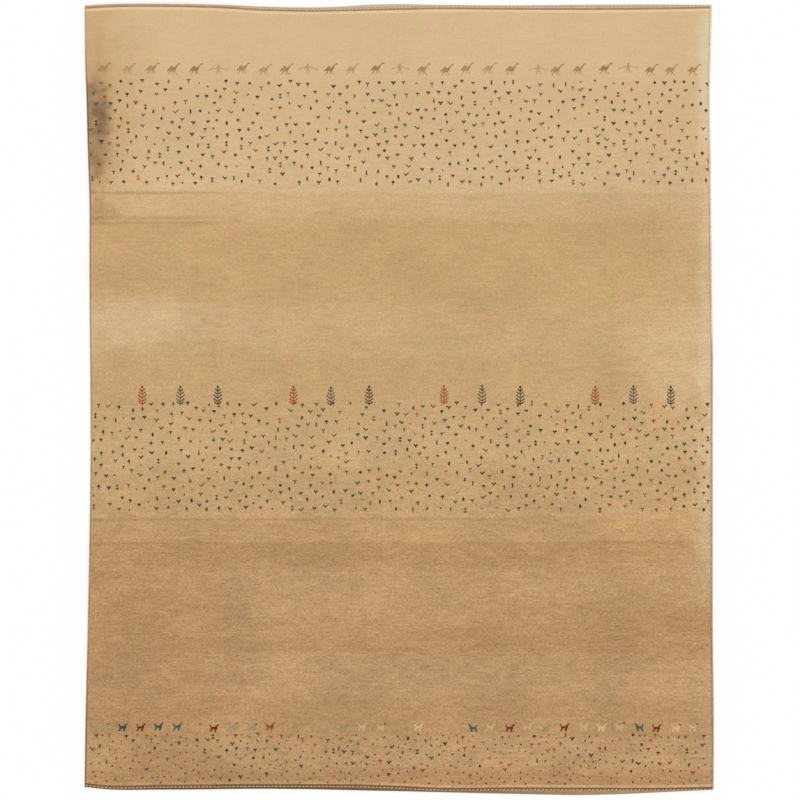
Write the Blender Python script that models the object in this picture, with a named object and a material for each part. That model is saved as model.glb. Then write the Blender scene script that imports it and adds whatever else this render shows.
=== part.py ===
"""Hand-knotted wool rug, lying flat with its pile up.

The rug is one knotted cloth: a pile field, and at each end a narrow flat-woven hem, lower than
the pile. Wool is overcast round its two long edges, which makes a selvedge down each side, and a
twined braid is worked across each woven end. The four edges wander as they do on a rug that was
woven by hand, so each is a smooth curve through a short table of measured insets.

X runs across the rug, Y along it and Z up. The origin is on the floor, under the middle.
"""

from collections import namedtuple

import bmesh
import bpy
import numpy as np

MM = 0.001

# Driving dimensions
RUG_WIDTH = 2440 * MM
RUG_LENGTH = 3066 * MM
PILE_TOP = 12 * MM
HEM_TOP = 4.2 * MM
SELVEDGE_RADIUS = 3 * MM
GAP = 0.3 * MM
BRAID_INNER = 3 * MM
BRAID_OUTER = 9.5 * MM

# Steps along the outline
STEPS_ACROSS = 48
STEPS_ALONG = 60

# Each edge, measured in millimetres.
# up: distance from the lower end; left, right: how far that edge stays inside the full width.
Side = namedtuple("Side", "up left right")
SIDES = (
    Side(up=0, left=0, right=1),
    Side(up=280, left=4, right=0),
    Side(up=660, left=12, right=4),
    Side(up=1010, left=19, right=4),
    Side(up=1380, left=23, right=4),
    Side(up=1730, left=21, right=4),
    Side(up=2020, left=19, right=8),
    Side(up=2310, left=19, right=11),
    Side(up=2500, left=13, right=12),
    Side(up=2700, left=8, right=15),
    Side(up=2850, left=2, right=12),
    Side(up=3066, left=0, right=7),
)

# across: distance from the left edge; edge: how far the woven end stays inside the full length;
# row: how far inside it the braid's working line runs.
End = namedtuple("End", "across edge row")
LOWER_END = (
    End(across=0, edge=31, row=44),
    End(across=60, edge=24, row=37),
    End(across=300, edge=21, row=37),
    End(across=700, edge=24, row=40),
    End(across=900, edge=22, row=40),
    End(across=1110, edge=17, row=37),
    End(across=1220, edge=15, row=33),
    End(across=1340, edge=12, row=27),
    End(across=1690, edge=4, row=27),
    End(across=1920, edge=0, row=26),
    End(across=2040, edge=2, row=26),
    End(across=2270, edge=12, row=26),
    End(across=2440, edge=20, row=29),
)
UPPER_END = (
    End(across=0, edge=6, row=14),
    End(across=60, edge=2, row=10),
    End(across=400, edge=0, row=8),
    End(across=530, edge=3, row=12),
    End(across=700, edge=10, row=22),
    End(across=870, edge=13, row=25),
    End(across=990, edge=10, row=24),
    End(across=1110, edge=2, row=21),
    End(across=1220, edge=0, row=19),
    End(across=1340, edge=2, row=16),
    End(across=1600, edge=5, row=17),
    End(across=2000, edge=2, row=18),
    End(across=2300, edge=2, row=15),
    End(across=2440, edge=4, row=12),
)

# The cloth's edge, as closed loops from the floor upwards and inwards, in millimetres.
# side: inset from the side's own edge; end: inset from the woven end on the hem's loops, and
# from the pile's foot on the pile's loops; height: above the floor.
Loop = namedtuple("Loop", "on side end height")
LOOPS = (
    Loop(on="hem", side=1.2, end=1.2, height=0.0),
    Loop(on="hem", side=0.2, end=0.2, height=0.9),
    Loop(on="hem", side=0.0, end=0.0, height=2.0),
    Loop(on="hem", side=0.2, end=0.5, height=3.2),
    Loop(on="hem", side=0.5, end=2.0, height=3.8),
    Loop(on="pile", side=0.6, end=0.0, height=4.2),
    Loop(on="pile", side=0.8, end=0.5, height=8.5),
    Loop(on="pile", side=1.7, end=1.5, height=10.8),
    Loop(on="pile", side=3.8, end=3.8, height=11.8),
    Loop(on="pile", side=9.0, end=9.0, height=12.0),
)

# The braid's section, in millimetres: a plain ridge over its working line, then a fuller one
# towards the rug's end, which rises and falls with the turns of its two yarns.
# out: distance from the working line; rise: height over the braid's base at the crown of a turn;
# pinch: share of that rise, and of the reach past the valley, that is left between two turns.
Ridge = namedtuple("Ridge", "out rise pinch")
BRAID_SECTION = (
    Ridge(out=-3.0, rise=0.0, pinch=1.0),
    Ridge(out=-2.5, rise=2.6, pinch=1.0),
    Ridge(out=0.0, rise=3.7, pinch=1.0),
    Ridge(out=2.8, rise=2.2, pinch=1.0),
    Ridge(out=4.5, rise=4.2, pinch=0.7),
    Ridge(out=7.0, rise=4.7, pinch=0.68),
    Ridge(out=9.2, rise=2.9, pinch=0.8),
    Ridge(out=9.5, rise=0.0, pinch=0.86),
)
BRAID_VALLEY = 2.8 * MM
TURN_LENGTH = 15 * MM
PLAIN_STEPS = 12

# How far across each end its turns are rolled under, out of sight, and left plain
LOWER_TURNS_FROM = 0.0
UPPER_TURNS_FROM = 0.24

# Wool, as linear colour and roughness
Wool = namedtuple("Wool", "name colour roughness")
PILE_WOOL = Wool(name="tan_pile_wool", colour=(0.578, 0.367, 0.181), roughness=0.92)
SELVEDGE_WOOL = Wool(name="brown_overcast_wool", colour=(0.262, 0.168, 0.096), roughness=0.88)
BRAID_WOOL = Wool(name="brown_and_ivory_wool", colour=(0.305, 0.190, 0.098), roughness=0.86)


def curve_through(table, along, column, at):
    """A smooth curve through one column of a table, read at the distances in at.

    It is a cubic between each pair of rows, with the slope at a row taken from its neighbours.
    Tables are in millimetres, and the result in metres is never less than nothing.
    """
    places = np.array([getattr(row, along) for row in table]) * MM
    values = np.array([getattr(row, column) for row in table]) * MM
    slopes = np.gradient(values, places)
    at = np.clip(at, places[0], places[-1])
    before = np.clip(np.searchsorted(places, at, side="right") - 1, 0, len(places) - 2)
    span = places[before + 1] - places[before]
    part = (at - places[before]) / span
    rest = 1 - part
    value = (
        values[before] * rest**2 * (1 + 2 * part)
        + values[before + 1] * part**2 * (1 + 2 * rest)
        + slopes[before] * span * part * rest**2
        - slopes[before + 1] * span * part**2 * rest
    )
    return np.maximum(value, 0)


def end_inset(table, column, across):
    """Inset of a woven end's edge or braid line, at fractions of the rug's width."""
    return curve_through(table, "across", column, across * RUG_WIDTH)


def on_rug(across, along, side_in, lower_in, upper_in):
    """Plan position at fractions across and along the rug, inside its own wandering edges.

    side_in, lower_in and upper_in are insets from the full width and length at the four edges.
    """
    low = -RUG_LENGTH / 2 + lower_in
    high = RUG_LENGTH / 2 - upper_in
    y = low + (high - low) * along
    up = y + RUG_LENGTH / 2
    left = -RUG_WIDTH / 2 + curve_through(SIDES, "up", "left", up) + side_in
    right = RUG_WIDTH / 2 - curve_through(SIDES, "up", "right", up) - side_in
    return left + (right - left) * across, y


def outline_fractions():
    """Fractions across and along the rug, once round its outline, anticlockwise from above."""
    across = np.arange(STEPS_ACROSS) / STEPS_ACROSS
    along = np.arange(STEPS_ALONG) / STEPS_ALONG
    round_across = np.concatenate([across, np.ones(STEPS_ALONG), 1 - across, np.zeros(STEPS_ALONG)])
    round_along = np.concatenate([np.zeros(STEPS_ACROSS), along, np.ones(STEPS_ACROSS), 1 - along])
    return round_across, round_along


def wool_material(wool):
    """A plain wool finish."""
    material = bpy.data.materials.new(wool.name)
    material.use_nodes = True
    shader = material.node_tree.nodes["Principled BSDF"]
    shader.inputs["Base Color"].default_value = (*wool.colour, 1)
    shader.inputs["Roughness"].default_value = wool.roughness
    shader.inputs["Metallic"].default_value = 0
    return material


def add_object(name, data, wool):
    """Put a mesh or a curve into the scene under its own name, in its wool."""
    data.materials.append(wool_material(wool))
    piece = bpy.data.objects.new(name, data)
    bpy.context.scene.collection.objects.link(piece)
    return piece


def stacked_loops(name, loops, closed_round):
    """A mesh whose skin joins each loop of points to the next.

    closed_round says that the loops lie inside one another, as round the cloth's edge, with the
    first and last filled. Along a braid they are its sections, and the two end ones are filled.
    Either way it is closed, and its faces are turned to point out.
    """
    shape = bmesh.new()
    rows = [[shape.verts.new(point) for point in loop] for loop in loops]
    for lower, upper in zip(rows, rows[1:]):
        for i in range(len(lower)):
            j = (i + 1) % len(lower)
            shape.faces.new((lower[i], lower[j], upper[j], upper[i]))
    shape.faces.new(rows[0])
    shape.faces.new(rows[-1])
    bmesh.ops.recalc_face_normals(shape, faces=shape.faces)
    mesh = bpy.data.meshes.new(name)
    shape.to_mesh(mesh)
    shape.free()
    mesh.shade_smooth()
    mesh.set_sharp_from_angle(angle=np.radians(40 if closed_round else 60))
    return mesh


def add_cloth():
    """The knotted cloth: floor loop, rounded hem, step up to the pile and its rounded shoulder."""
    across, along = outline_fractions()
    lower_edge = end_inset(LOWER_END, "edge", across)
    upper_edge = end_inset(UPPER_END, "edge", across)
    lower_foot = end_inset(LOWER_END, "row", across) + BRAID_INNER + GAP
    upper_foot = end_inset(UPPER_END, "row", across) + BRAID_INNER + GAP
    cloth_side = 2 * SELVEDGE_RADIUS + GAP
    loops = []
    for loop in LOOPS:
        lower = (lower_foot if loop.on == "pile" else lower_edge) + loop.end * MM
        upper = (upper_foot if loop.on == "pile" else upper_edge) + loop.end * MM
        x, y = on_rug(across, along, cloth_side + loop.side * MM, lower, upper)
        loops.append(np.stack([x, y, np.full_like(x, loop.height * MM)], axis=1))
    add_object("knotted_cloth", stacked_loops("knotted_cloth", loops, closed_round=True), PILE_WOOL)


def add_selvedge(name, across):
    """The overcast cord down one long edge, from woven end to woven end, lying on the floor."""
    along = np.linspace(0, 1, STEPS_ALONG + 1)
    lower = end_inset(LOWER_END, "edge", across)
    upper = end_inset(UPPER_END, "edge", across)
    x, y = on_rug(across, along, SELVEDGE_RADIUS, lower, upper)
    curve = bpy.data.curves.new(name, "CURVE")
    curve.dimensions = "3D"
    curve.bevel_depth = SELVEDGE_RADIUS
    curve.bevel_resolution = 2
    curve.use_fill_caps = True
    spline = curve.splines.new("POLY")
    spline.points.add(len(along) - 1)
    centre = np.stack([x, y, np.full_like(x, SELVEDGE_RADIUS), np.ones_like(x)], axis=1)
    spline.points.foreach_set("co", centre.ravel())
    add_object(name, curve, SELVEDGE_WOOL)


def braid_stations(turns_from):
    """Fractions across the rug where the braid has a section, and how full each one is.

    From turns_from on there are two sections to a turn of the yarns, one on its crown, which is
    full at 1, and one at the pinch before it, at 0. The part that is rolled under is plain.
    """
    turns = round((1 - turns_from) * RUG_WIDTH / TURN_LENGTH)
    turned = np.linspace(turns_from, 1, 2 * turns + 1)
    full = np.arange(2 * turns + 1) % 2
    if turns_from == 0:
        return turned, full
    plain = np.linspace(0, turns_from, PLAIN_STEPS, endpoint=False)
    return np.concatenate([plain, turned]), np.concatenate([np.zeros(PLAIN_STEPS), full])


def add_end_braid(name, table, along, turns_from):
    """The twined braid on one woven end: two ridges side by side, resting on the hem.

    Where the hem is narrow, the part outside the working line is drawn in, so that the braid
    stays on the cloth.
    """
    across, full = braid_stations(turns_from)
    edge = end_inset(table, "edge", across)
    row = end_inset(table, "row", across)
    drawn_in = np.minimum(1, (row - edge - GAP) / BRAID_OUTER)
    side = 2 * SELVEDGE_RADIUS + 2 * GAP
    base = HEM_TOP + GAP
    points = []
    for ridge in BRAID_SECTION:
        share = ridge.pinch + (1 - ridge.pinch) * full
        past_valley = max(ridge.out * MM - BRAID_VALLEY, 0)
        out = min(ridge.out * MM, BRAID_VALLEY) + past_valley * share
        inset = row - out * (drawn_in if ridge.out > 0 else 1)
        x, y = on_rug(across, along, side, inset, inset)
        points.append(np.stack([x, y, base + ridge.rise * MM * share], axis=1))
    sections = np.stack(points, axis=1)
    add_object(name, stacked_loops(name, sections, closed_round=False), BRAID_WOOL)


def main():
    for old in list(bpy.data.objects):
        bpy.data.objects.remove(old, do_unlink=True)
    add_cloth()
    add_selvedge("selvedge_left", 0.0)
    add_selvedge("selvedge_right", 1.0)
    add_end_braid("end_braid_lower", LOWER_END, 0.0, LOWER_TURNS_FROM)
    add_end_braid("end_braid_upper", UPPER_END, 1.0, UPPER_TURNS_FROM)


main()
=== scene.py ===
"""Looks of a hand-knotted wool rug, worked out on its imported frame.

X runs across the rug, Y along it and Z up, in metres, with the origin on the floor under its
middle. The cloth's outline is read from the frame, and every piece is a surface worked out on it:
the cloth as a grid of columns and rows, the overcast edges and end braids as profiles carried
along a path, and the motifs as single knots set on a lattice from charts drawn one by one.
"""

from collections import namedtuple

import bpy
import numpy as np
from bpy.props import FloatProperty, FloatVectorProperty, IntProperty, PointerProperty
from bpy.types import Operator, Panel, PropertyGroup
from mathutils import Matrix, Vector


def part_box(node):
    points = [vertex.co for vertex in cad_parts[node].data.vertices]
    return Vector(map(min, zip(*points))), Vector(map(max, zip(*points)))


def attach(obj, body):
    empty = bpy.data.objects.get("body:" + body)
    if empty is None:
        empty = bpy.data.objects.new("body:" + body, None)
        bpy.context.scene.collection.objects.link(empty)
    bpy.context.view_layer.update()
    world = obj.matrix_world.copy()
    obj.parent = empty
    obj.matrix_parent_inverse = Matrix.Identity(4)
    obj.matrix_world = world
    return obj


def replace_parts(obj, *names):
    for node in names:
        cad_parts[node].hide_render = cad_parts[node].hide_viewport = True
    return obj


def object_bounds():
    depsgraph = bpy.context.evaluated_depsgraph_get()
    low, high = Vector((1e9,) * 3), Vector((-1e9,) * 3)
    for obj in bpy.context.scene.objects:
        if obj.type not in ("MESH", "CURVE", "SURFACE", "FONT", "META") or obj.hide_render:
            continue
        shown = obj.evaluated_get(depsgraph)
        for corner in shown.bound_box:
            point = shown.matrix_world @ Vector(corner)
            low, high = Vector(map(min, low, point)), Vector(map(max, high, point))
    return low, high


bl_info = {
    "name": "Hand-knotted rug",
    "version": (1, 0, 0),
    "blender": (4, 5, 0),
    "location": "View3D > Sidebar > Rug",
    "description": "Dresses the packed rug: knotted cloth, overcast edges, end braids and motifs",
    "category": "Add Mesh",
}

MM = 0.001

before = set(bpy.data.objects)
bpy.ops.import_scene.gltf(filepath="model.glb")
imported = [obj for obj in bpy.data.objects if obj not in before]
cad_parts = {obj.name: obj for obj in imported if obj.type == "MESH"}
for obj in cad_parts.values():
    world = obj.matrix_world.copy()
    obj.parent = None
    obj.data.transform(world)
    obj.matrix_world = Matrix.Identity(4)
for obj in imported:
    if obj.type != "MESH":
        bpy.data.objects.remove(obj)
CAD_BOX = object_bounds()
CLOTH_LOW, CLOTH_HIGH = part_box("knotted_cloth")
PILE_TOP = CLOTH_HIGH.z
RUG_LOW, RUG_HIGH = CAD_BOX

# Heights of the two rings of the frame's cloth that give its plan, and how far inside a ring's
# outermost point its edge may lie
RIM_HEIGHT = 2.0 * MM
FOOT_HEIGHT = 4.2 * MM
RING_SPREAD = 45 * MM

# The cloth's section, in millimetres: distance inwards against height
SIDE_IN = (0.0, 0.2, 0.5, 0.6, 0.8, 1.7, 3.8, 9.0)
SIDE_UP = (2.0, 3.2, 3.8, 4.2, 8.5, 10.8, 11.8, 12.0)
HEM_IN = (0.0, 0.5, 2.0, 7.0)
HEM_UP = (2.0, 3.2, 3.8, 4.2)
PILE_IN = (0.0, 0.5, 1.5, 3.8, 9.0)
PILE_UP = (4.2, 8.5, 10.8, 11.8, 12.0)

# The grid's rows on a hem, as distances in from the woven end
HEM_ROWS = (0, 0.5, 2.0, 4.0, 6.5)

# Loops under the rim, down to the floor
UNDER_IN = (0.2, 1.2)
UNDER_UP = (0.9, 0.0)

# Grid of the cloth: even steps between its shoulders, and how many of them one square of the
# underside takes
COLUMN_STEPS = 126
ROW_STEPS = 558
UNDER_COLUMNS = 7
UNDER_ROWS = 6

# The edges and ends, as the frame has them
SELVEDGE_RADIUS = 3 * MM
GAP = 0.3 * MM
BRAID_INNER = 3 * MM
BRAID_OUTER = 9.5 * MM
BRAID_BASE = FOOT_HEIGHT + GAP

# The strip that the underside takes of the cloth's flat map, as shares of the whole map
BACK_LEFT = 0.82
BACK_WIDTH = 0.17
BACK_LOW = 0.01
BACK_LENGTH = 0.98

# The stage: how far the floor lies below the rug, how far beside the rug's middle the camera
# stands, and the key light's width and turn
FLOOR_DROP = 0.5 * MM
CAMERA_BESIDE = (3.9 * MM, -1.2 * MM)
KEY_WIDTH = np.radians(25)
KEY_TURN = np.radians((28, -22, 0))

# Field wools, by name, as the eye sees them (red, green, blue out of 255)
FIELD_WOOLS = {
    "toffee": (181, 140, 97),
    "camel": (185, 145, 101),
    "tawny": (190, 151, 108),
    "biscuit": (193, 154, 108),
    "amber": (195, 159, 114),
    "honey": (199, 162, 115),
    "wheat": (200, 166, 121),
    "oat": (204, 168, 124),
    "dune": (206, 171, 128),
    "sand": (212, 180, 138),
    "pale_sand": (216, 184, 142),
    "ecru": (224, 202, 168),
    # Cream of the end rows, made lighter as painted light against the shade on the pile's sloping ends
    "lit_cream": (236, 205, 165),
    "chestnut": (166, 124, 82),
    "soot": (142, 115, 90),
    # hem_beige is partly painted light: the upper hem's wool, made lighter against the shade in the groove
    # between the braid and the pile
    "hem_beige": (208, 186, 160),
    "hem_bark": (104, 78, 52),
    "hem_brown": (166, 140, 110),
}

# How the field's dye lots follow each other up the rug, in millimetres from its lower end
Lot = namedtuple("Lot", "up wool")
DYE_LOTS = (
    Lot(up=0, wool="toffee"),
    Lot(up=80, wool="toffee"),
    Lot(up=115, wool="tawny"),
    Lot(up=215, wool="tawny"),
    Lot(up=235, wool="camel"),
    Lot(up=355, wool="camel"),
    Lot(up=400, wool="tawny"),
    Lot(up=540, wool="tawny"),
    Lot(up=565, wool="camel"),
    Lot(up=650, wool="camel"),
    Lot(up=775, wool="tawny"),
    Lot(up=870, wool="tawny"),
    Lot(up=905, wool="camel"),
    Lot(up=975, wool="camel"),
    Lot(up=985, wool="biscuit"),
    Lot(up=1066, wool="biscuit"),
    Lot(up=1076, wool="amber"),
    Lot(up=1240, wool="amber"),
    Lot(up=1315, wool="wheat"),
    Lot(up=1690, wool="honey"),
    Lot(up=1715, wool="wheat"),
    Lot(up=1785, wool="oat"),
    Lot(up=1890, wool="oat"),
    Lot(up=1925, wool="honey"),
    Lot(up=2210, wool="honey"),
    Lot(up=2240, wool="oat"),
    Lot(up=2305, wool="dune"),
    Lot(up=2330, wool="dune"),
    Lot(up=2342, wool="sand"),
    Lot(up=2725, wool="sand"),
    Lot(up=2790, wool="pale_sand"),
    Lot(up=3066, wool="pale_sand"),
)

# Rows of knots in a darker wool, where one lot ends: x from left to right, in millimetres
Seam = namedtuple("Seam", "up left right share")
SEAMS = (
    Seam(up=2334, left=-1220, right=-560, share=0.5),
    Seam(up=2237, left=-1220, right=-590, share=0.42),
    Seam(up=2217, left=-1220, right=-560, share=0.42),
    Seam(up=1071, left=-1220, right=700, share=0.45),
    Seam(up=978, left=-1220, right=1220, share=0.35),
    Seam(up=566, left=-700, right=300, share=0.2),
)

# Places where the field is paler or darker than its lot: centre and reach in millimetres
Patch = namedtuple("Patch", "x up wide tall wool share crisp")
PATCHES = (
    Patch(x=-1020, up=1840, wide=230, tall=90, wool="sand", share=0.9, crisp=3),
    Patch(x=500, up=1840, wide=430, tall=90, wool="honey", share=0.55, crisp=3),
    Patch(x=1090, up=1690, wide=170, tall=170, wool="sand", share=0.65, crisp=3),
    Patch(x=1150, up=2200, wide=120, tall=330, wool="sand", share=0.3, crisp=3),
    Patch(x=1208, up=2800, wide=48, tall=360, wool="ecru", share=0.85, crisp=4),
    Patch(x=1208, up=1900, wide=44, tall=540, wool="ecru", share=0.42, crisp=4),
    Patch(x=1208, up=1080, wide=48, tall=330, wool="ecru", share=0.45, crisp=3),
    Patch(x=1208, up=260, wide=48, tall=300, wool="ecru", share=0.15, crisp=3),
    Patch(x=1190, up=910, wide=75, tall=270, wool="wheat", share=0.35, crisp=3),
    Patch(x=-1205, up=2700, wide=95, tall=430, wool="honey", share=0.9, crisp=4),
    Patch(x=-1180, up=2850, wide=200, tall=240, wool="dune", share=0.5, crisp=3),
    Patch(x=-1140, up=2600, wide=110, tall=260, wool="honey", share=0.5, crisp=3),
    Patch(x=-1170, up=2265, wide=70, tall=50, wool="toffee", share=0.55, crisp=3),
    Patch(x=-1000, up=620, wide=330, tall=330, wool="toffee", share=0.75, crisp=3),
    Patch(x=780, up=640, wide=560, tall=130, wool="toffee", share=0.6, crisp=3),
    Patch(x=-900, up=110, wide=230, tall=110, wool="toffee", share=0.85, crisp=3),
    Patch(x=-260, up=700, wide=260, tall=110, wool="tawny", share=0.5, crisp=2),
    Patch(x=4, up=2066, wide=75, tall=60, wool="tawny", share=0.5, crisp=2),
    Patch(x=120, up=600, wide=420, tall=50, wool="chestnut", share=0.14, crisp=3),
    Patch(x=300, up=920, wide=700, tall=40, wool="chestnut", share=0.12, crisp=3),
)
STAINS = (
    Patch(x=-1166, up=2600, wide=52, tall=190, wool="soot", share=0.38, crisp=4),
    Patch(x=-1152, up=2640, wide=26, tall=80, wool="soot", share=0.6, crisp=3),
    Patch(x=-1200, up=2680, wide=26, tall=90, wool="soot", share=0.35, crisp=3),
    Patch(x=-1185, up=2450, wide=42, tall=70, wool="soot", share=0.25, crisp=3),
)

# The overcast edges' colours, out of 255, up the left and the right side: the yarn's own tone
# with painted light, made lighter to cancel the shade that falls on the cord beside the pile
EdgeWoolAndLight = namedtuple("EdgeWoolAndLight", "up left right")
EDGE_WOOL_AND_LIGHT = (
    EdgeWoolAndLight(up=0, left=(150, 124, 92), right=(190, 164, 134)),
    EdgeWoolAndLight(up=138, left=(154, 127, 94), right=(192, 166, 136)),
    EdgeWoolAndLight(up=370, left=(173, 135, 106), right=(189, 168, 136)),
    EdgeWoolAndLight(up=603, left=(202, 177, 144), right=(193, 162, 140)),
    EdgeWoolAndLight(up=912, left=(206, 169, 128), right=(197, 182, 159)),
    EdgeWoolAndLight(up=1338, left=(209, 182, 153), right=(203, 187, 168)),
    EdgeWoolAndLight(up=1700, left=(197, 172, 144), right=(196, 180, 152)),
    EdgeWoolAndLight(up=1800, left=(193, 169, 142), right=(243, 224, 198)),
    EdgeWoolAndLight(up=2113, left=(183, 160, 131), right=(229, 206, 181)),
    EdgeWoolAndLight(up=2500, left=(160, 134, 108), right=(246, 232, 205)),
    EdgeWoolAndLight(up=2616, left=(140, 112, 89), right=(249, 237, 211)),
    EdgeWoolAndLight(up=2760, left=(170, 145, 118), right=(246, 233, 208)),
    EdgeWoolAndLight(up=2900, left=(213, 190, 164), right=(243, 229, 207)),
    EdgeWoolAndLight(up=3066, left=(213, 190, 164), right=(243, 229, 207)),
)

# Wools of the motifs, as the eye sees them
MOTIF_WOOLS = {
    "forest": (54, 66, 48),
    "pine": (22, 46, 38),
    "teal": (60, 84, 74),
    "slate": (82, 96, 92),
    "navy": (62, 74, 78),
    "rust": (162, 84, 38),
    "madder": (168, 64, 22),
    "brick": (132, 46, 18),
    "walnut": (104, 72, 40),
    "mauve": (120, 92, 84),
    "olive": (106, 94, 52),
    "ember": (190, 92, 38),
    "ivory": (222, 192, 148),
    "peach": (210, 166, 114),
    "dove": (178, 160, 126),
    "tan": (186, 142, 90),
    "fawn": (197, 157, 106),
    "straw": (203, 166, 118),
}

# Charts are drawn on the knot lattice, top row first. # is a knot in the motif's own
# wool, o one in its second wool, and a dot leaves the field as it is.
CAMEL = """
................##.
...............####
..............##...
.............##....
......##....##.....
.....####..###.....
....##########.....
...##########......
..###########......
.###########.......
.##.#######........
.#..##..o##........
....#o...oo........
...oo....o.o.......
...o....oo..o......
..oo....o...oo.....
"""

HERDER = """
..###..
..###..
...#...
.#####.
#.###.#
#.###.#
#.###..
..###..
..#.#..
.##.##.
.#...#.
.#...#.
##...##
"""

TREE = """
.....#.....
....###....
....###....
.....#.....
..#..#..#..
..##.#.##..
...#####...
....###....
.#...#...#.
.##..#..##.
..##.#.##..
...#####...
#....#....#
##...#...##
.##..#..##.
..##.#.##..
...#####...
#....#....#
##...#...##
.##..#..##.
..##.#.##..
...#####...
##...#...##
.##..#..##.
..#######..
....###....
.....#.....
"""

ANIMAL = """
...........oo
##........ooo
.##......###.
.##.....###..
..#########..
..#########..
..#########..
..###..###...
..##...###...
.###...##....
.##....###...
"""

SPRIGS = """
##.##
#####
.###.
..o..

#####
.###.
..o..
..o..
..o..

##.##
#####
.###.
..#..
..o..

.##.
####
.##.
....
.oo.
oooo
.oo.

##
##
##
##
oo
oo

#####
#####
.###.
..o..
..o..

.##.
####
####
.##.

..#..
.###.
#####
.###.
..o..
..o..

.###.
#####
.###.
..#..
..o..
..o..

.....##
#...##.
##.##..
.###...
..o....

##..##
.####.
..##..
..o...
..o...

.#.
###
###
###
###
.#.

##..##
######
.####.
..##..
..oo..

.##.
.##.
####
.##.
..o.
..o.

###
###
.#.
.o.
.o.

.#.
###
###
###
.#.

##.##
.###.
..#..
..o..
..o..
..o..

.....#
#...##
######
.###..
..oo..
"""

DOTS = """
##
##

.#.
###
.#.

##.
.##

##
##
##

#
#
#

##
##
.o

#.#
.#.

###
.#.
.o.

.##
.##
##.
"""

# Each sprig's wool is drawn with these odds, and each dot's with those below
SPRIG_ODDS = {
    "forest": 0.32,
    "teal": 0.16,
    "slate": 0.14,
    "rust": 0.15,
    "madder": 0.04,
    "walnut": 0.07,
    "mauve": 0.05,
    "olive": 0.05,
    "ember": 0.03,
}
DOT_ODDS = {
    "rust": 0.26,
    "walnut": 0.26,
    "slate": 0.14,
    "forest": 0.12,
    "brick": 0.1,
    "mauve": 0.08,
    "olive": 0.05,
}

# Rows of larger motifs: first one and step across, and height of their middle, in millimetres
CARAVAN = "cccccHcccHcccHcccccHcccHccc"
CARAVAN_FIRST = -1139
CARAVAN_STEP = 87.9
CARAVAN_UP = 2815
CAMEL_WOOLS = "tan fawn fawn tan tan fawn tan fawn fawn tan tan straw".split()

TREE_GROUPS = 4
TREE_WOOLS = ("madder", "navy", "pine")
TREE_FIRST = -995
TREE_STEP = 147
TREE_GROUP_STEP = 585
TREE_UP = 1550

# A leading < turns an animal to face left; a wool after a slash is its head's
HERD = (
    "dove/walnut teal brick teal slate peach/walnut brick dove/walnut dove/walnut rust"
    " straw straw dove dove ivory ivory/walnut straw ivory straw <straw <slate ivory brick"
    " ivory dove brick ivory ivory ivory/walnut <slate brick ivory/walnut ivory/walnut"
).split()
HERD_FIRST = -1142
HERD_STEP = 71.4
HERD_UP = 265

# Fields of small sprigs: lowest and highest, in millimetres from the lower end, how many, how far
# apart at least, and the share of them that are mere dots at the top and at the bottom
Field = namedtuple("Field", "name low high count apart dots_top dots_bottom seed")
SPRIG_FIELDS = (
    Field("sprigs_upper", low=2366, high=2768, count=560, apart=31, dots_top=0.08, dots_bottom=0.08, seed=11),
    Field("sprigs_middle", low=1104, high=1522, count=600, apart=31, dots_top=0.1, dots_bottom=0.1, seed=23),
    Field("sprigs_lower", low=46, high=236, count=440, apart=23, dots_top=0.6, dots_bottom=0.97, seed=37),
)


def smooth(low, high, value):
    """A smooth step: 0 below low, 1 above high, and 3t squared less 2t cubed between."""
    t = np.clip((value - low) / (high - low), 0, 1)
    return t * t * (3 - 2 * t)


def linear(colour):
    """Linear light of a colour given out of 255, by the usual power of 2.4 with its foot."""
    c = np.asarray(colour, float) / 255
    return np.where(c <= 0.04045, c / 12.92, ((c + 0.055) / 1.055) ** 2.4)


def value_noise(x, y, size, seed):
    """Smooth noise from -1 to 1: random values on a square lattice of that size, joined by
    smooth steps in both directions."""
    lattice = np.random.default_rng(seed).uniform(-1, 1, (64, 64))
    u = x / size + 32
    v = y / size + 32
    i = np.floor(u).astype(int)
    j = np.floor(v).astype(int)
    a = smooth(0, 1, u - i)
    b = smooth(0, 1, v - j)
    low = lattice[j % 64, i % 64] * (1 - a) + lattice[j % 64, (i + 1) % 64] * a
    high = lattice[(j + 1) % 64, i % 64] * (1 - a) + lattice[(j + 1) % 64, (i + 1) % 64] * a
    return low * (1 - b) + high * b


def smooth_curve(places, values):
    """A curve through the points (places, values), as a function.

    Between two points it is a cubic whose slope at each point is taken from its neighbours.
    """
    slopes = np.gradient(values, places)

    def read(at):
        at = np.clip(at, places[0], places[-1])
        before = np.clip(np.searchsorted(places, at, side="right") - 1, 0, len(places) - 2)
        span = places[before + 1] - places[before]
        part = (at - places[before]) / span
        rest = 1 - part
        return (
            values[before] * rest**2 * (1 + 2 * part)
            + values[before + 1] * part**2 * (1 + 2 * rest)
            + slopes[before] * span * part * rest**2
            - slopes[before + 1] * span * part**2 * rest
        )

    return read


def ring_of_frame(height):
    """The frame cloth's ring of corners at one height, as plan points without repeats."""
    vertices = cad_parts["knotted_cloth"].data.vertices
    corners = np.zeros(len(vertices) * 3)
    vertices.foreach_get("co", corners)
    corners = corners.reshape(-1, 3)
    ring = corners[np.abs(corners[:, 2] - height) < 0.1 * MM, :2]
    return np.unique(np.round(ring, 5), axis=0)


def edge_curve(ring, axis, far):
    """One edge of a ring as a smooth curve: x against y on the sides, y against x at the ends.

    axis is the one that the edge is far along, on the side that far gives (-1 or 1).
    """
    outermost = (ring[:, axis] * far).max()
    edge = ring[ring[:, axis] * far > outermost - RING_SPREAD]
    edge = edge[np.argsort(edge[:, 1 - axis])]
    return smooth_curve(edge[:, 1 - axis], edge[:, axis])


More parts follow.
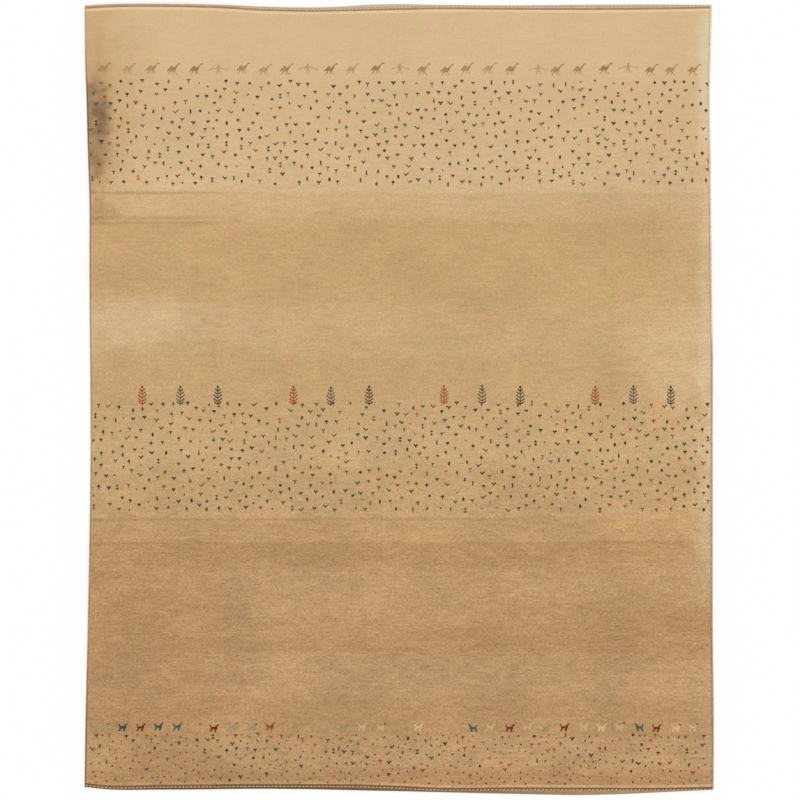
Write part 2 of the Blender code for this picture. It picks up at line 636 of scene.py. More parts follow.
RIM = ring_of_frame(RIM_HEIGHT)
FOOT = ring_of_frame(FOOT_HEIGHT)
left_side = edge_curve(RIM, 0, -1)
right_side = edge_curve(RIM, 0, 1)
rim_lower = edge_curve(RIM, 1, -1)
rim_upper = edge_curve(RIM, 1, 1)
foot_lower = edge_curve(FOOT, 1, -1)
foot_upper = edge_curve(FOOT, 1, 1)


def from_side(x, y):
    """Distance in from the nearer long edge of the cloth."""
    return np.minimum(x - left_side(y), right_side(y) - x)


def from_foot(x, y):
    """Distance in from the nearer end of the pile, less than nothing on the hems."""
    return np.minimum(y - foot_lower(x), foot_upper(x) - y)


def from_rim(x, y):
    """Distance in from the nearer woven end."""
    return np.minimum(y - rim_lower(x), rim_upper(x) - y)


def swell(x, y):
    """How far the cloth lifts or sinks where it lies unevenly.

    Four long waves in different directions, and one soft trough along the old fold down the
    middle, all dying away towards the edges.
    """
    waves = (
        0.35 * np.sin(9.1 * x + 2.2 * y + 0.4)
        + 0.30 * np.sin(-4.3 * x + 7.4 * y + 2.0)
        + 0.22 * np.sin(15.0 * x - 6.1 * y + 4.1)
        + 0.18 * np.sin(3.7 * x + 17.3 * y + 1.3)
    )
    fold = -0.9 * np.exp(-(((x - 23 * MM) / (26 * MM)) ** 2))
    fold = fold * smooth(-1.05, -0.8, y) * (1 - smooth(0.5, 0.75, y))
    inside = smooth(8 * MM, 90 * MM, np.minimum(from_side(x, y), from_foot(x, y)))
    return (waves + fold) * MM * inside


def surface_height(x, y):
    """Height of the cloth's upper face: the lower of its side profile and its end profile."""
    foot = from_foot(x, y)
    side = np.interp(from_side(x, y) / MM, SIDE_IN, SIDE_UP)
    pile = np.interp(foot / MM, PILE_IN, PILE_UP)
    hem = np.interp(from_rim(x, y) / MM, HEM_IN, HEM_UP)
    end = np.where(foot > -0.001 * MM, pile, hem)
    return np.minimum(side, end) * MM + swell(x, y)


def grain_at(y):
    """How strongly the wool's shade varies: little in the pale lots, and most in the dark ones."""
    return np.interp((y - RUG_LOW.y) / MM, (0, 1000, 1400, 2300, 2700), (2.3, 2.3, 1.5, 1.3, 0.55))


def patch_weight(patch, x, y):
    """How much of a patch's wool shows at each point: its share in the middle, falling to nothing
    past its reach on a line that noise makes ragged."""
    ragged = 1 + 0.2 * value_noise(x, y, 0.04, 5) + 0.2 * value_noise(x, y, 0.016, 6)
    worn = 1 + 0.2 * value_noise(x, y, 0.03, 9)
    across = (x / MM - patch.x) / patch.wide
    along = ((y - RUG_LOW.y) / MM - patch.up) / patch.tall
    return patch.share * worn / (1 + (np.hypot(across, along) * ragged) ** (2 * patch.crisp))


def stain_at(x, y):
    """How strong the dark stain is at each point, from 0 to 1: the sum of its patches."""
    return np.clip(sum(patch_weight(patch, x, y) for patch in STAINS), 0, 1)


def lots_at(up, heights, wools):
    """The colour at each distance up the rug, where wools follow each other at those heights:
    each of red, green and blue goes in a straight line from one wool to the next."""
    wools = np.array(wools, float)
    return np.stack([np.interp(up, heights, wools[:, i]) for i in range(3)], axis=-1)


def dye_at(x, y):
    """The wool's colour on the upper face, in linear light, for each point.

    The lot's colour at that distance up the rug, on rows that waver a little, then its patches,
    seams and pale end rows, each mixed in by its own weight. The pale end rows lie on the pile's
    sloping ends and are partly painted light: cream wool made lighter to cancel the shade there.
    """
    up = (y - RUG_LOW.y) / MM
    across = x / MM
    waver = 5 * value_noise(x, y, 0.31, 3) + 3 * value_noise(x, y, 0.09, 4)
    colour = lots_at(
        up + waver, [lot.up for lot in DYE_LOTS], [FIELD_WOOLS[lot.wool] for lot in DYE_LOTS]
    )

    def mix_in(wool, weight):
        return colour + (np.array(FIELD_WOOLS[wool], float) - colour) * weight[..., None]

    for patch in PATCHES:
        colour = mix_in(patch.wool, patch_weight(patch, x, y))
    for seam in SEAMS:
        near = np.exp(-(((up + waver * 0.4 - seam.up) / 4.5) ** 2))
        along = smooth(seam.right, seam.right - 300, across) * smooth(seam.left - 1, seam.left, across)
        colour = mix_in("chestnut", seam.share * near * along)
    clouds = 0.014 * value_noise(x, y, 0.21, 7) + 0.013 * value_noise(x, y * 2, 0.09, 8)
    colour = colour * (1 + clouds * grain_at(y))[..., None]

    foot = from_foot(x, y) / MM
    upper = y > 0
    # Pale end rows on the pile's sloping ends: cream wool, partly painted light that cancels the shade on the
    # slope
    pale = smooth(15, 9, foot) * np.where(upper, 0.95, np.interp(across, (-900, 900), (0.12, 0.4)))
    colour = mix_in("lit_cream", pale)
    bark, brown, beige = (np.array(FIELD_WOOLS["hem_" + name]) for name in ("bark", "brown", "beige"))
    faded = smooth(-500, 1000, across)[..., None]
    # The upper hem's beige is partly painted light, made lighter against the shade in the groove between the
    # braid and the pile
    hem = np.where(upper[..., None], beige, bark + (brown - bark) * faded)
    on_hem = smooth(0.2, -0.2, foot)[..., None]
    return linear(np.clip(colour + (hem - colour) * on_hem, 0, 255))


def make_mesh(name, points, face_groups):
    """A mesh from an array of points and arrays of faces, one array for each number of corners."""
    corners = np.concatenate([faces.ravel() for faces in face_groups])
    sizes = np.concatenate([np.full(len(faces), faces.shape[1]) for faces in face_groups])
    starts = np.concatenate([[0], np.cumsum(sizes)[:-1]])
    mesh = bpy.data.meshes.new(name)
    mesh.vertices.add(len(points))
    mesh.vertices.foreach_set("co", np.asarray(points, np.float32).ravel())
    mesh.loops.add(len(corners))
    mesh.loops.foreach_set("vertex_index", corners.astype(np.int32))
    mesh.polygons.add(len(sizes))
    mesh.polygons.foreach_set("loop_start", starts.astype(np.int32))
    mesh.update(calc_edges=True)
    return mesh


def set_dye(mesh, colours, grain=1.0):
    """Store one linear colour for each point, and how grainy it is, for the wool's finish."""
    rgba = np.ones((len(colours), 4), np.float32)
    rgba[:, :3] = colours
    mesh.attributes.new("dye", "FLOAT_COLOR", "POINT").data.foreach_set("color", rgba.ravel())
    set_values(mesh, "grain", np.broadcast_to(grain, len(colours)))


def set_values(mesh, name, values):
    """Store one number for each point under a name that a finish can read."""
    attribute = mesh.attributes.new(name, "FLOAT", "POINT")
    attribute.data.foreach_set("value", np.array(values, np.float32))


def set_map(mesh, corners_uv):
    """Store the piece's own flat map, one pair for each corner of each face."""
    layer = mesh.uv_layers.new(name="OFBake")
    layer.data.foreach_set("uv", np.asarray(corners_uv, np.float32).ravel())


def corner_points(mesh):
    """For each corner of each face, the number of its point."""
    found = np.zeros(len(mesh.loops), np.int32)
    mesh.loops.foreach_get("vertex_index", found)
    return found


def add_piece(name, mesh, slot, *materials):
    """Put a finished mesh into the scene on the rug's one body."""
    for material in materials:
        mesh.materials.append(material)
    piece = bpy.data.objects.new(name, mesh)
    bpy.context.scene.collection.objects.link(piece)
    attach(piece, "root")
    return piece


class Finish:
    """A node material under construction: each method adds nodes and gives back a socket."""

    def __init__(self, name, roughness, sheen):
        self.material = bpy.data.materials.new(name)
        self.material.use_nodes = True
        self.nodes = self.material.node_tree.nodes
        self.links = self.material.node_tree.links
        self.shader = self.nodes["Principled BSDF"]
        self.shader.inputs["Roughness"].default_value = roughness
        self.shader.inputs["Sheen Weight"].default_value = sheen
        self.shader.inputs["Sheen Roughness"].default_value = 0.5
        self.shader.inputs["Specular IOR Level"].default_value = 0.2
        self.place = self.nodes.new("ShaderNodeTexCoord").outputs["Object"]

    def stored(self, name):
        """What the mesh stores at each point: a dye, or a number under another name."""
        node = self.nodes.new("ShaderNodeAttribute")
        node.attribute_name = name
        return node.outputs["Color" if name == "dye" else "Fac"]

    def scaled(self, per_metre):
        """The place in the rug, counted in cells: so many of them to a metre on X, Y and Z."""
        node = self.nodes.new("ShaderNodeMapping")
        node.inputs["Scale"].default_value = per_metre
        self.links.new(self.place, node.inputs["Vector"])
        return node.outputs["Vector"]

    def noise(self, per_metre, detail=2.0):
        """Soft noise from 0 to 1, with its grain stretched by per_metre."""
        node = self.nodes.new("ShaderNodeTexNoise")
        node.inputs["Scale"].default_value = 1.0
        node.inputs["Detail"].default_value = detail
        self.links.new(self.scaled(per_metre), node.inputs["Vector"])
        return node.outputs["Fac"]

    def cells(self, per_metre, randomness):
        """Cells of a lattice: distance from the nearest cell's middle, and a shade for each."""
        node = self.nodes.new("ShaderNodeTexVoronoi")
        node.voronoi_dimensions = "2D"
        node.inputs["Scale"].default_value = 1.0
        node.inputs["Randomness"].default_value = randomness
        self.links.new(self.scaled(per_metre), node.inputs["Vector"])
        return node.outputs["Distance"], node.outputs["Color"]

    def spread(self, value, low, high, centre=0.5, reach=0.25):
        """A value around centre, give or take reach, drawn out to run from low to high."""
        node = self.nodes.new("ShaderNodeMapRange")
        node.inputs["From Min"].default_value = centre - reach
        node.inputs["From Max"].default_value = centre + reach
        node.inputs["To Min"].default_value = low
        node.inputs["To Max"].default_value = high
        self.links.new(value, node.inputs["Value"])
        return node.outputs["Result"]

    def maths(self, operation, *values):
        """One sum on sockets or numbers."""
        node = self.nodes.new("ShaderNodeMath")
        node.operation = operation
        for value, socket in zip(values, node.inputs):
            if isinstance(value, (int, float)):
                socket.default_value = value
            else:
                self.links.new(value, socket)
        return node.outputs["Value"]

    def varied(self, colour, *shares):
        """A colour made lighter and darker by noises, each given with its share of the change."""
        total = None
        for value, share in shares:
            part = self.maths("MULTIPLY", self.maths("SUBTRACT", value, 0.5), share)
            total = part if total is None else self.maths("ADD", total, part)
        total = self.maths("MULTIPLY_ADD", total, self.stored("grain"), 1.0)
        node = self.nodes.new("ShaderNodeVectorMath")
        node.operation = "SCALE"
        self.links.new(colour, node.inputs[0])
        self.links.new(total, node.inputs["Scale"])
        return node.outputs["Vector"]

    def tinted(self, colour, value, one, other):
        """A colour multiplied by a tint that goes from one to other with value."""
        tint = self.nodes.new("ShaderNodeMix")
        tint.data_type = "RGBA"
        tint.inputs["A"].default_value = (*one, 1)
        tint.inputs["B"].default_value = (*other, 1)
        self.links.new(value, tint.inputs["Factor"])
        node = self.nodes.new("ShaderNodeVectorMath")
        node.operation = "MULTIPLY"
        self.links.new(colour, node.inputs[0])
        self.links.new(tint.outputs["Result"], node.inputs[1])
        return node.outputs["Vector"]

    def finished(self, colour, height, depth):
        """Close the material: its colour, and a relief of that depth in metres."""
        self.links.new(colour, self.shader.inputs["Base Color"])
        bump = self.nodes.new("ShaderNodeBump")
        bump.inputs["Strength"].default_value = 1.0
        bump.inputs["Distance"].default_value = depth
        self.links.new(height, bump.inputs["Height"])
        self.links.new(bump.outputs["Normal"], self.shader.inputs["Normal"])
        return self.material


def pile_finish(looks):
    """Cut wool pile: a lattice of knots, rows that differ a little, and clouds of shade and hue.

    Where the mesh stores a stain, the colour is multiplied by the tint from sand to soot.
    """
    finish = Finish("cut_wool_pile", roughness=0.93, sheen=0.06)
    lattice = (1 / looks.knot_across, 1 / looks.knot_along, 1)
    middle, shade = finish.cells(lattice, 0.35)
    rows = finish.noise((5, 125, 1), detail=2)
    threads = finish.noise((16, 230, 1), detail=2)
    mottle = finish.noise((26, 48, 1), detail=3)
    clumps = finish.noise((112, 136, 1), detail=2)
    hue = finish.noise((20, 30, 1), detail=3)
    colour = finish.tinted(
        finish.stored("dye"), finish.spread(hue, 0, 1), (0.955, 1.02, 0.90), (1.045, 0.984, 1.06)
    )
    colour = finish.varied(
        colour, (rows, 0.13), (threads, 0.12), (mottle, 0.22), (clumps, 0.42), (shade, 0.08)
    )
    ragged = finish.maths("MULTIPLY", finish.spread(mottle, 0.7, 1.3), finish.spread(clumps, 0.75, 1.25))
    soaked = finish.maths("MULTIPLY", finish.stored("stain"), ragged)
    soot = linear(FIELD_WOOLS["soot"]) / linear(FIELD_WOOLS["sand"])
    colour = finish.tinted(colour, soaked, (1, 1, 1), soot)
    height = finish.maths("MULTIPLY", middle, -0.8)
    height = finish.maths("ADD", height, finish.maths("MULTIPLY", threads, 0.8))
    height = finish.maths("ADD", height, clumps)
    return finish.finished(colour, height, looks.pile_relief)


def woven_finish(name, looks):
    """Flat weave: ribs over the warps, crossed by fine picks of weft."""
    finish = Finish(name, roughness=0.9, sheen=0.03)
    ribs, shade = finish.cells((1 / looks.knot_across, 640, 1), 0.15)
    picks = finish.noise((220, 620, 1), detail=2)
    wear = finish.noise((30, 30, 1), detail=3)
    colour = finish.varied(finish.stored("dye"), (picks, 0.12), (wear, 0.10), (shade, 0.08))
    height = finish.maths("ADD", finish.maths("MULTIPLY", ribs, -1.0), picks)
    return finish.finished(colour, height, looks.weave_relief)


def yarn_finish(name, looks, grain):
    """Spun yarn: fibres that catch the light, in a colour stored on the mesh."""
    finish = Finish(name, roughness=0.86, sheen=0.05)
    fibres = finish.noise((grain, grain, grain), detail=3)
    slubs = finish.noise((70, 70, 70), detail=2)
    colour = finish.varied(finish.stored("dye"), (fibres, 0.5), (slubs, 0.3))
    return finish.finished(colour, fibres, looks.yarn_relief)


def cloth_grid():
    """Plan of the cloth's upper face, as arrays of x and y with rows up the rug.

    A column is a share of the way between the long edges plus a fixed distance, and a row is a
    share of the way between two end curves plus a fixed distance. The two depend on each other,
    so they are settled in turn until they agree.
    """
    side = np.array(SIDE_IN) * MM
    even = np.linspace(0, 1, COLUMN_STEPS + 1)[1:-1]
    share_x = np.concatenate([np.zeros(len(side)), even, np.ones(len(side))])
    shift_x = np.concatenate([side, side[-1] * (1 - 2 * even), -side[::-1]])

    hem = np.array(HEM_ROWS) * MM
    foot = np.array(PILE_IN) * MM
    long = np.linspace(0, 1, ROW_STEPS + 1)[1:-1]
    strip = np.concatenate(
        [
            np.zeros(len(hem)),
            np.ones(2 * len(foot) + len(long)),
            np.full(len(hem), 2),
        ]
    ).astype(int)
    share_y = np.concatenate(
        [
            np.zeros(len(hem) + len(foot)),
            long,
            np.ones(len(foot) + len(hem)),
        ]
    )
    shift_y = np.concatenate([hem, foot, foot[-1] * (1 - 2 * long), -foot[::-1], -hem[::-1]])

    x = np.broadcast_to(np.interp(share_x, [0, 1], [CLOTH_LOW.x, CLOTH_HIGH.x]), (len(strip), len(share_x)))
    for _ in range(4):
        ends = np.stack([rim_lower(x), foot_lower(x), foot_upper(x), rim_upper(x)])
        rows = np.arange(len(strip))
        before = ends[strip, rows]
        after = ends[strip + 1, rows]
        y = before + (after - before) * share_y[:, None] + shift_y[:, None]
        left, right = left_side(y), right_side(y)
        x = left + (right - left) * share_x + shift_x
    return x, y


def hem_rows(count):
    """Which rows of the grid lie on a hem."""
    rows = np.arange(count)
    return (rows < len(HEM_ROWS)) | (rows >= count - len(HEM_ROWS))


def round_grid(rows, columns):
    """Row and column numbers once round a grid, anticlockwise from above."""
    along_row = np.arange(columns - 1)
    along_column = np.arange(rows - 1)
    row = np.concatenate(
        [0 * along_row, along_column, 0 * along_row + rows - 1, rows - 1 - along_column]
    )
    column = np.concatenate(
        [along_row, 0 * along_column + columns - 1, columns - 1 - along_row, 0 * along_column]
    )
    return row, column


def underside_faces(under, step_down, step_across):
    """Faces of the underside: each goes clockwise round one square of the grid, through the
    points that the underside has there. Squares on the rim have more of them."""
    rows, columns = under.shape
    up = np.arange(step_down)
    out = np.arange(step_across)
    go_row = np.concatenate([up, 0 * out + step_down, step_down - up, 0 * out])
    go_column = np.concatenate([0 * up, out, 0 * up + step_across, step_across - out])
    first_row, first_column = np.meshgrid(
        np.arange(0, rows - 1, step_down), np.arange(0, columns - 1, step_across), indexing="ij"
    )
    square = under[
        first_row.reshape(-1, 1) + go_row,
        first_column.reshape(-1, 1) + go_column,
    ]
    held = square >= 0
    counts = held.sum(axis=1)
    return [square[counts == n][held[counts == n]].reshape(-1, n) for n in np.unique(counts)]


def make_cloth(looks):
    """The knotted cloth: one closed surface.

    The upper face is the grid of plan points lifted to the cloth's height there. Round its rim
    the wall turns under in two loops, each the rim moved inwards along its normal, and the floor
    loop is filled by a coarser grid of the same plan.
    """
    x, y = cloth_grid()
    rows, columns = x.shape
    z = surface_height(x, y)
    top = np.stack([x, y, z], axis=-1).reshape(-1, 3)
    number = np.arange(rows * columns).reshape(rows, columns)
    top_faces = np.stack(
        [number[:-1, :-1], number[:-1, 1:], number[1:, 1:], number[1:, :-1]], axis=-1
    ).reshape(-1, 4)

    round_row, round_column = round_grid(rows, columns)
    rim = number[round_row, round_column]
    rim_plan = top[rim, :2]
    ahead = np.roll(rim_plan, -1, axis=0) - np.roll(rim_plan, 1, axis=0)
    ahead = ahead / np.linalg.norm(ahead, axis=1, keepdims=True)
    inwards = np.stack([-ahead[:, 1], ahead[:, 0]], axis=1)
    loops = [rim]
    points = [top]
    total = len(top)
    for inset, height in zip(UNDER_IN, UNDER_UP):
        plan = rim_plan + inwards * inset * MM
        points.append(np.column_stack([plan, np.full(len(plan), height * MM)]))
        loops.append(total + np.arange(len(plan)))
        total += len(plan)
    wall_faces = [
        np.stack([low, np.roll(low, -1), np.roll(high, -1), high], axis=1)
        for high, low in zip(loops, loops[1:])
    ]

    under = np.full((rows, columns), -1)
    inner_row, inner_column = np.meshgrid(
        np.arange(UNDER_ROWS, rows - 1, UNDER_ROWS),
        np.arange(UNDER_COLUMNS, columns - 1, UNDER_COLUMNS),
        indexing="ij",
    )
    inner = np.stack([x[inner_row, inner_column], y[inner_row, inner_column]], axis=-1).reshape(-1, 2)
    points.append(np.column_stack([inner, np.zeros(len(inner))]))
    under[inner_row.ravel(), inner_column.ravel()] = total + np.arange(len(inner))
    under[round_row, round_column] = loops[-1]
    under_groups = underside_faces(under, UNDER_ROWS, UNDER_COLUMNS)

    points = np.concatenate(points)
    mesh = make_mesh("rug_cloth", points, [top_faces, *wall_faces, *under_groups])
    dye = dye_at(points[:, 0], points[:, 1])
    below = np.arange(len(points)) >= len(top)
    dye[below] = dye[below] * looks.underside_shade
    set_dye(mesh, dye, grain_at(points[:, 1]))
    set_values(mesh, "stain", stain_at(points[:, 0], points[:, 1]))

    faces_above = len(top_faces) + sum(len(faces) for faces in wall_faces)
    finish_number = np.zeros(len(mesh.polygons), np.int32)
    finish_number[: len(top_faces)] = np.repeat(hem_rows(rows)[:-1] & hem_rows(rows)[1:], columns - 1)
    finish_number[len(top_faces) : faces_above] = 1
    finish_number[faces_above:] = 2
    mesh.polygons.foreach_set("material_index", finish_number)
    mesh.polygons.foreach_set("use_smooth", np.ones(len(mesh.polygons), bool))

    corners_above = 4 * faces_above
    at = points[corner_points(mesh)]
    set_map(mesh, np.concatenate([map_above(at[:corners_above]), map_below(at[corners_above:])]))
    return mesh


def map_above(at):
    """Flat map of the upper face and walls: the plan, with the sloping edges folded outwards."""
    x, y, z = at.T
    fold_x = PILE_TOP - np.interp(from_side(x, y) / MM, SIDE_IN, SIDE_UP) * MM
    foot = from_foot(x, y)
    fold_y = PILE_TOP - np.where(
        foot > -0.001 * MM,
        np.interp(foot / MM, PILE_IN, PILE_UP),
        np.interp(from_rim(x, y) / MM, HEM_IN, HEM_UP),
    ) * MM
    drop = np.maximum(RIM_HEIGHT - z, 0) * 2
    whole = RUG_HIGH.y - RUG_LOW.y + 4 * PILE_TOP
    u = (x + np.sign(x) * (fold_x + drop) - RUG_LOW.x + 2 * PILE_TOP) / whole
    v = (y + np.sign(y) * (fold_y + drop) - RUG_LOW.y + 2 * PILE_TOP) / whole
    return np.stack([u, v], axis=1)


def map_below(at):
    """Flat map of the underside: the plan, drawn in to a strip beside the upper face."""
    u = BACK_LEFT + BACK_WIDTH * (at[:, 0] - RUG_LOW.x) / (RUG_HIGH.x - RUG_LOW.x)
    v = BACK_LOW + BACK_LENGTH * (at[:, 1] - RUG_LOW.y) / (RUG_HIGH.y - RUG_LOW.y)
    return np.stack([u, v], axis=1)


def swept(centre, profile):
    """A closed tube: profile holds, for each station along centre, the points round it.

    Gives its points and faces, with its two ends filled.
    """
    stations, sides = profile.shape[:2]
    points = (centre[:, None] + profile).reshape(-1, 3)
    number = np.arange(stations * sides).reshape(stations, sides)
    beside = np.roll(number, -1, axis=1)
    skin = np.stack([number[:-1], beside[:-1], beside[1:], number[1:]], axis=-1).reshape(-1, 4)
    caps = np.stack([number[0, ::-1], number[-1]])
    return points, skin, caps


def strip_map(stations, sides, strips, first_row, rows):
    """Flat map of a tube's skin, cut across its length into strips that lie above each other.

    Along a strip u runs from edge to edge, and v goes once round the tube.
    """
    face = np.arange(stations - 1)[:, None]
    side = np.arange(sides)[None, :]
    per_strip = -(-(stations - 1) // strips)
    strip = face // per_strip
    begin = (face - strip * per_strip) / per_strip
    end = begin + 1 / per_strip
    low = (first_row + strip + 0.06 + 0.88 * side / sides) / rows
    high = (first_row + strip + 0.06 + 0.88 * (side + 1) / sides) / rows
    begin, end, low, high = (np.broadcast_to(a, (stations - 1, sides)) for a in (begin, end, low, high))
    u = np.stack([begin, begin, end, end], axis=-1)
    v = np.stack([low, high, high, low], axis=-1)
    return np.stack([0.003 + 0.994 * u, v], axis=-1).reshape(-1, 2)


def tubes_mesh(name, tubes, strips):
    """One mesh of several tubes: each is centre, profile and colours, with a map of its own."""
    points, skins, caps, colours, maps, cap_maps = [], [], [], [], [], []
    total = 0
    for i, (centre, profile, colour) in enumerate(tubes):
        tube_points, skin, cap = swept(centre, profile)
        points.append(tube_points)
        skins.append(skin + total)
        caps.append(cap + total)
        colours.append(np.repeat(colour, profile.shape[1], axis=0))
        maps.append(strip_map(*profile.shape[:2], strips, i * strips, strips * len(tubes)))
        cap_maps.append(np.full((cap.size, 2), 0.001))
        total += len(tube_points)
    mesh = make_mesh(name, np.concatenate(points), [np.concatenate(skins), *caps])
    set_dye(mesh, np.concatenate(colours))
    set_map(mesh, np.concatenate(maps + cap_maps))
    mesh.polygons.foreach_set("use_smooth", np.ones(len(mesh.polygons), bool))
    return mesh


def make_selvedge(name, edge, outwards, looks):
    """Wool overcast round one long edge: a round cord whose radius follows its wraps.

    Each wrap is one arch of a cosine along the cord, leaning by half a wrap round it, and the
    cord follows the cloth's own edge from woven end to woven end.
    """
    per_wrap, sides = 5, 10
    low, high = [curve(edge(0.0)) for curve in (rim_lower, rim_upper)]
    wraps = int(round((high - low) / looks.wrap_pitch))
    along = np.linspace(0, 1, wraps * per_wrap + 1)
    y = low + (high - low) * along
    x = edge(y) + outwards * (SELVEDGE_RADIUS + GAP)
    centre = np.stack([x, y, np.full_like(x, SELVEDGE_RADIUS)], axis=1)
    turn = np.linspace(0, 2 * np.pi, sides, endpoint=False)
    wrap = along[:, None] * wraps + 0.5 * turn[None] / (2 * np.pi)
    arch = np.abs(np.cos(np.pi * wrap)) ** 0.7
    tapered = smooth(0, 0.0015, along) * smooth(1, 0.9985, along)
    radius = SELVEDGE_RADIUS * (0.84 + 0.16 * arch) * (0.45 + 0.55 * tapered[:, None])
    profile = np.stack([radius * np.cos(turn), 0 * radius, radius * np.sin(turn)], axis=-1)[:, ::-1]
    number = np.floor(along * wraps).astype(int)
    each = np.random.default_rng(43).uniform(0.86, 1.1, wraps + 1)[number] * looks.selvedge_shade
    # The edge colours are partly painted light: made lighter against the shade on the cord beside the pile
    wools = [lot.left if outwards < 0 else lot.right for lot in EDGE_WOOL_AND_LIGHT]
    colour = linear(lots_at((y - RUG_LOW.y) / MM, [lot.up for lot in EDGE_WOOL_AND_LIGHT], wools))
    return tubes_mesh(name, [(centre, profile, colour * each[:, None])], strips=16)


def strand(x, y, z, angle, throw, size, flat, sides):
    """One strand of a two-strand twist round the line (x, y, z), which runs along X.

    Its middle goes round the line in a helix of radius throw, at angle for each x, and its round
    section, of radius size, stands square to the helix. The twist is then pressed flatter: flat
    gives its share of width and height.
    """
    turn = np.gradient(angle, x)
    radial = np.stack([0 * x, np.cos(angle), np.sin(angle)], axis=1)
    climb = turn * throw
    tangent = np.stack([np.ones_like(x), -np.sin(angle) * climb, np.cos(angle) * climb], axis=1)
    tangent = tangent / np.linalg.norm(tangent, axis=1, keepdims=True)
    beside = np.cross(tangent, radial)
    around = np.linspace(0, 2 * np.pi, sides, endpoint=False)[None, :, None]
    section = radial[:, None] * np.cos(around) + beside[:, None] * np.sin(around)
    profile = throw * radial[:, None] + size * section
    profile = profile * np.array([1.0, flat[0], flat[1]])
    return np.stack([x, y, z], axis=1), profile


# The two twined rows of an end, in millimetres. out: how far its line lies towards the rug's end
# from the working line; pitch: share of the twist's length; width and height: how far the twist
# is pressed flatter.
TwinedRow = namedtuple("TwinedRow", "out pitch throw width height steps sides")
TWINED_ROWS = (
    TwinedRow(out=-0.9, pitch=0.7, throw=1.0, width=1.0, height=0.9, steps=8, sides=6),
    TwinedRow(out=4.9, pitch=1.0, throw=1.55, width=1.04, height=0.75, steps=12, sides=8),
)


def make_braid(name, end, looks):
    """Two twined rows on one woven end.

    Each row is two strands that wind round one line: a plain brown row over the working line, and
    beside it, towards the rug's end, one of a brown and an ivory strand. Where the hem is narrow
    the outer row is drawn in, and over the share that is rolled under both its strands are brown.
    """
    low = left_side(end.rim(CLOTH_LOW.x)) + GAP
    high = right_side(end.rim(CLOTH_HIGH.x)) - GAP
    # Each end's brown; the upper one is partly painted light, made lighter against the shade in the groove
    # between the braid and the pile
    brown, ivory = (linear(np.array(wool) * 255) for wool in (end.brown(looks), looks.braid_ivory))
    tubes = []
    for i, row in enumerate(TWINED_ROWS):
        turns = round((high - low) / (looks.twist_pitch * row.pitch))
        x = np.linspace(low, high, turns * row.steps + 1)
        share = (x - low) / (high - low)
        line = end.foot(x) + end.outwards * (BRAID_INNER + GAP)
        room = np.abs(end.rim(x) - line)
        drawn_in = np.minimum(1, (room - GAP) / BRAID_OUTER)
        waver = 0.3 * value_noise(x, 0 * x + i, 0.03, 51)
        y = line + end.outwards * (row.out + waver) * MM * drawn_in
        z = np.full_like(x, BRAID_BASE + 2 * row.throw * MM * row.height)
        spin = 2 * np.pi * turns * share + 0.5 * value_noise(x, 0 * x + i, 0.05, 53)
        shown = smooth(end.rolled_under - 0.09, end.rolled_under + 0.09, share)
        for j in range(2):
            pale = i == 1 and j == 1
            size = row.throw if i == 0 else (end.ivory_size if pale else end.brown_size)
            angle = end.outwards * spin + np.pi * j
            centre, profile = strand(
                x, y, z, angle, row.throw * MM, size * MM, (row.width, row.height), row.sides
            )
            colour = brown * (1 + 0.12 * value_noise(x, 0 * x + j, 0.02, 57))[:, None]
            if pale:
                crown = smooth(end.crown - 0.3, end.crown + 0.3, np.sin(angle))
                colour = colour + (ivory - colour) * (shown * crown)[:, None]
            tubes.append((centre, profile, colour))
    return tubes_mesh(name, tubes, strips=4)


# What differs between the two ends. rolled_under: share of the width, from the left, over which
# the turns are rolled out of sight; the sizes are the two strands' own radii, in millimetres; and
# crown: how high on a turn, as a sine, the pale strand starts to show clean.
BraidedEnd = namedtuple(
    "BraidedEnd", "name rim foot outwards rolled_under brown_size ivory_size crown brown"
)
BRAIDED_ENDS = (
    BraidedEnd(
        "lower", rim_lower, foot_lower, -1, rolled_under=-0.1, brown_size=1.7, ivory_size=1.3,
        crown=0.45, brown=lambda looks: looks.lower_braid,
    ),
    BraidedEnd(
        "upper", rim_upper, foot_upper, 1, rolled_under=0.2, brown_size=1.3, ivory_size=1.75,
        crown=-1.5, brown=lambda looks: looks.upper_braid,
    ),
)


def charts_of(text):
    """Charts from a drawing, one after another with an empty line between. Each is an array with
    a row for each knot: its column and row from the chart's middle, and 1 for the second wool."""
    charts = []
    for drawing in text.strip("\n").split("\n\n"):
        lines = drawing.split("\n")
        marks = np.array([list(line) for line in lines])
        row, column = np.nonzero(marks != ".")
        middle_row, middle_column = (marks.shape[0] - 1) // 2, (marks.shape[1] - 1) // 2
        second = (marks[row, column] == "o").astype(int)
        charts.append(np.stack([column - middle_column, middle_row - row, second], axis=1))
    return charts


# One knot of a motif: how far its place wanders, how high its corners stand and how unevenly, how
# deep its lower point is sunk, its half width as a share of the pitch, and how near an edge it may be
KNOT_WANDER = 0.12 * MM
CORNER_RISE = 0.15 * MM
CORNER_WANDER = 0.04 * MM
KNOT_DEPTH = 1.5 * MM
KNOT_HALF = 0.53
KNOT_MARGIN = 3.5 * MM


